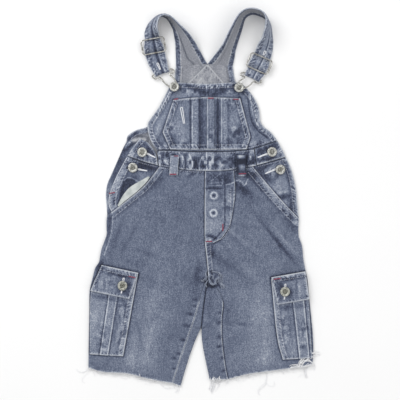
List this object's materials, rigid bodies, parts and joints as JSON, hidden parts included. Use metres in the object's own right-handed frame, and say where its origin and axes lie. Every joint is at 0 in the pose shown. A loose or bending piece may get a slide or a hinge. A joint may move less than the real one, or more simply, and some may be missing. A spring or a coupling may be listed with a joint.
{
  "type": "child's bib shorts",
  "caption": "Small child's washed denim bib shorts with cargo pockets, wire strap hooks and frayed raw hems, laid flat with the front up",
  "frame": {"origin": "middle of the garment's bounding box in plan, on the surface it lies on", "axes": "the front faces +Z, the straps point to +Y and the hems to -Y; +X is to the right for a viewer who looks down at the front"},
  "size_m": [0.361, 0.6058, 0.0325],
  "materials": {
    "denim": "washed indigo twill, pale on its edges and seams",
    "denim_inside": "pale inside of the same twill",
    "lining": "plain off-white cotton pocketing",
    "button_metal": "satin cream-silver metal buttons",
    "wire_metal": "warm nickel-plated wire",
    "fray": "loose pale cotton threads"
  },
  "bodies": {
    "root": {"back_leg_left": "denim", "back_leg_right": "denim", "back_upper": "denim_inside", "back_yoke": "denim_inside", "belt_loop_left": "denim", "belt_loop_right": "denim", "bib": "denim", "bib_pocket": "denim", "bib_pocket_strip": "denim", "button_bib_left": "button_metal", "button_bib_right": "button_metal", "button_cargo_left": "button_metal", "button_cargo_right": "button_metal", "button_side_left_lower": "button_metal", "button_side_left_upper": "button_metal", "button_side_right_lower": "button_metal", "button_side_right_upper": "button_metal", "cargo_flap_left": "denim", "cargo_flap_right": "denim", "cargo_pocket_left": "denim", "cargo_pocket_right": "denim", "fly_placket": "denim", "front_leg_left": "denim", "front_leg_right": "denim", "hem_fray_left": "fray", "hem_fray_right": "fray", "hip_facing_left": "denim", "hip_facing_right": "denim", "hook_left": "wire_metal", "hook_right": "wire_metal", "inseam_roll_left": "denim", "inseam_roll_right": "denim", "pocket_lining_left": "lining", "slider_left": "wire_metal", "slider_right": "wire_metal", "strap_left": "denim", "strap_right": "denim", "waist_tab_left": "denim", "waist_tab_right": "denim", "waistband": "denim"}
  },
  "joints": []
}
